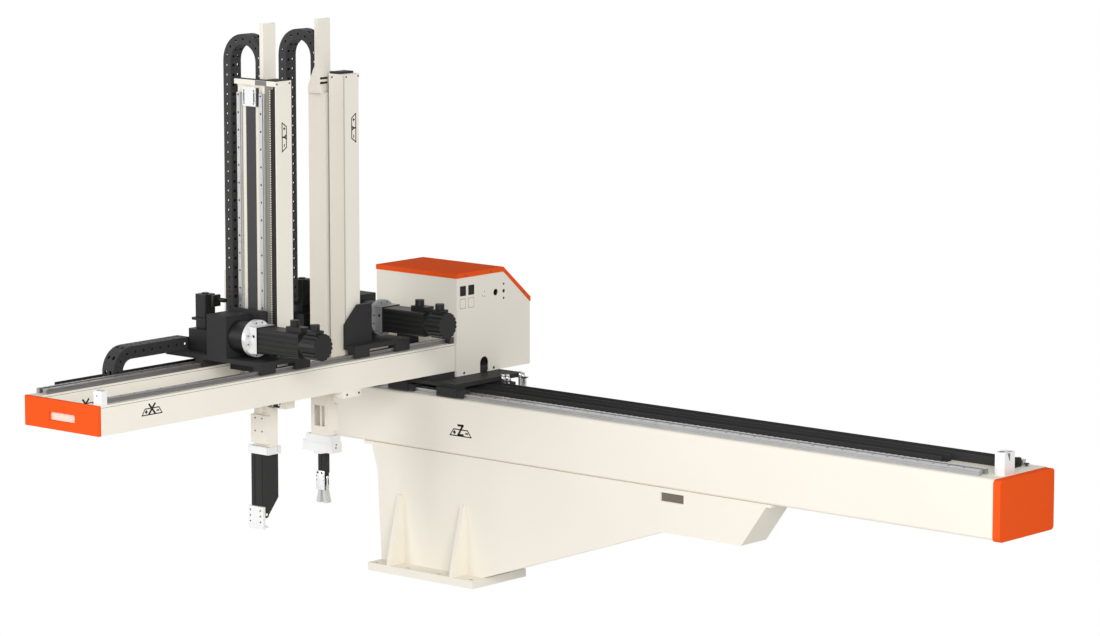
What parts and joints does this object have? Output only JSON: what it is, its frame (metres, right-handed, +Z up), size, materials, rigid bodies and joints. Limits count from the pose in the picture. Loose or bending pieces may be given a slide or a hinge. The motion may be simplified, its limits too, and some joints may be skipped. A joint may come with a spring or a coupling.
{
  "type": "injection moulding take-out robot",
  "caption": "Gantry take-out robot: pedestal and traverse beam, carriage with crosswise frame and cabinet, telescopic main arm with tilting tool plate and telescopic sub arm with sprue gripper.",
  "frame": {"origin": "centre of the base plate's underside, midway between its eight bolts", "axes": "+X along the traverse beam towards its long end, -Y out over the mould, +Z up"},
  "size_m": [2.914, 2.111, 1.975],
  "materials": {
    "cream_paint": "fine textured powder coat",
    "orange_paint": "satin powder coat",
    "steel": "ground",
    "dark_steel": "ground, dark",
    "black_paint": "matte powder coat",
    "servo_black": "satin enamel",
    "chain_plastic": "moulded",
    "belt_rubber": "matte",
    "aluminium": "bead blasted"
  },
  "bodies": {
    "frame": {"base_plate": "cream_paint", "pedestal": "cream_paint", "pedestal_gussets": "cream_paint", "traverse_beam": "cream_paint", "traverse_end_caps": "orange_paint", "traverse_rails": "steel", "traverse_rack": "steel", "traverse_cable_trays": "black_paint", "traverse_stops": "aluminium"},
    "carriage": {"carriage_plate": "black_paint", "traverse_blocks": "black_paint", "crosswise_near_beam": "cream_paint", "crosswise_far_beam": "cream_paint", "crosswise_cross_members": "cream_paint", "crosswise_end_cap": "orange_paint", "crosswise_rails": "dark_steel", "crosswise_racks": "dark_steel", "crosswise_stops": "aluminium", "crosswise_chain_tray": "black_paint", "crosswise_chain_lower_run": "chain_plastic", "cabinet": "cream_paint", "cabinet_lid": "orange_paint", "traverse_servo": "servo_black"},
    "traverse_pinion": {"traverse_pinion": "steel"},
    "crosswise_chain": {"crosswise_chain_bend": "chain_plastic"},
    "main_saddle": {"main_saddle": "black_paint", "main_guide_bracket": "black_paint", "main_drive_housing": "black_paint", "main_lift_servo": "servo_black", "main_cross_servo": "servo_black", "main_chain_bracket": "cream_paint", "main_chain_fixed_leg": "chain_plastic", "main_chain_upper_run": "chain_plastic"},
    "main_cross_pinion": {"main_cross_pinion": "steel"},
    "main_lift_pulley": {"main_lift_pulley": "steel"},
    "main_stage": {"main_stage_profile": "cream_paint", "main_stage_rails": "steel", "main_lift_belt": "belt_rubber", "main_stage_cover": "cream_paint", "main_chain_bend": "chain_plastic"},
    "main_arm": {"main_tube": "cream_paint", "main_chain_moving_leg": "chain_plastic", "main_wrist_clamp": "aluminium", "main_wrist_housing": "black_paint"},
    "main_tool": {"main_tool_plate": "aluminium"},
    "sub_saddle": {"sub_saddle": "black_paint", "sub_drive_housing": "black_paint", "sub_lift_servo": "servo_black", "sub_cross_servo": "servo_black", "sub_chain_fixed_leg": "chain_plastic"},
    "sub_stage": {"sub_stage_profile": "cream_paint", "sub_stage_rails": "steel", "sub_stage_cover": "cream_paint", "sub_chain_bend": "chain_plastic"},
    "sub_arm": {"sub_tube": "cream_paint", "sub_chain_moving_leg": "chain_plastic", "sub_gripper_mount": "aluminium", "sub_gripper_body": "black_paint"},
    "sub_jaw_left": {"sub_jaw_left": "aluminium"},
    "sub_jaw_right": {"sub_jaw_right": "aluminium"}
  },
  "joints": [
    {"name": "traverse", "type": "slide", "parent": "frame", "child": "carriage", "axis": [1, 0, 0], "range_m": [0, 2]},
    {"name": "traverse_pinion_spin", "type": "hinge", "parent": "carriage", "child": "traverse_pinion", "pos_m": [-0.195, 0.0193, 0.655], "axis": [0, 0, 1], "range_deg": [-5800, 60]},
    {"name": "main_cross", "type": "slide", "parent": "carriage", "child": "main_saddle", "axis": [0, 1, 0], "range_m": [-0.42, 0], "deforming": ["main_chain_upper_run"]},
    {"name": "crosswise_chain_roll", "type": "slide", "parent": "carriage", "child": "crosswise_chain", "axis": [0, 1, 0], "range_m": [-0.22, 0.01], "deforming": ["crosswise_chain_lower_run"]},
    {"name": "main_cross_pinion_spin", "type": "hinge", "parent": "main_saddle", "child": "main_cross_pinion", "pos_m": [-0.3723, -0.813, 0.821], "axis": [0, 0, 1], "range_deg": [-60, 1780]},
    {"name": "main_lift_pulley_spin", "type": "hinge", "parent": "main_saddle", "child": "main_lift_pulley", "pos_m": [-0.2125, -0.835, 0.928], "axis": [1, 0, 0], "range_deg": [-30, 970]},
    {"name": "main_lower", "type": "slide", "parent": "main_saddle", "child": "main_stage", "axis": [0, 0, 1], "range_m": [-0.55, 0], "deforming": ["main_chain_fixed_leg"]},
    {"name": "main_extend", "type": "slide", "parent": "main_stage", "child": "main_arm", "axis": [0, 0, 1], "range_m": [-0.55, 0], "deforming": ["main_chain_moving_leg"]},
    {"name": "main_wrist", "type": "hinge", "parent": "main_arm", "child": "main_tool", "pos_m": [-0.2165, -0.71, 0.293], "axis": [1, 0, 0], "range_deg": [0, 90]},
    {"name": "sub_cross", "type": "slide", "parent": "carriage", "child": "sub_saddle", "axis": [0, 1, 0], "range_m": [-0.12, 0.12]},
    {"name": "sub_lower", "type": "slide", "parent": "sub_saddle", "child": "sub_stage", "axis": [0, 0, 1], "range_m": [-0.55, 0], "deforming": ["sub_chain_fixed_leg"]},
    {"name": "sub_extend", "type": "slide", "parent": "sub_stage", "child": "sub_arm", "axis": [0, 0, 1], "range_m": [-0.55, 0], "deforming": ["sub_chain_moving_leg"]},
    {"name": "sub_jaw_left_close", "type": "hinge", "parent": "sub_arm", "child": "sub_jaw_left", "pos_m": [-0.234, -0.3865, 0.341], "axis": [0, -1, 0], "range_deg": [0, 8]},
    {"name": "sub_jaw_right_close", "type": "hinge", "parent": "sub_arm", "child": "sub_jaw_right", "pos_m": [-0.218, -0.3865, 0.341], "axis": [0, -1, 0], "range_deg": [-8, 0]}
  ],
  "couplings": [
    {"joint": "traverse_pinion_spin", "follows": "traverse", "rad_per_m": -50},
    {"joint": "crosswise_chain_roll", "follows": "main_cross", "ratio": 0.5},
    {"joint": "main_cross_pinion_spin", "follows": "main_cross", "rad_per_m": -71.429},
    {"joint": "main_lift_pulley_spin", "follows": "main_lower", "rad_per_m": -30.303},
    {"joint": "main_extend", "follows": "main_lower", "ratio": 1},
    {"joint": "sub_extend", "follows": "sub_lower", "ratio": 1},
    {"joint": "sub_jaw_right_close", "follows": "sub_jaw_left_close", "ratio": -1}
  ]
}
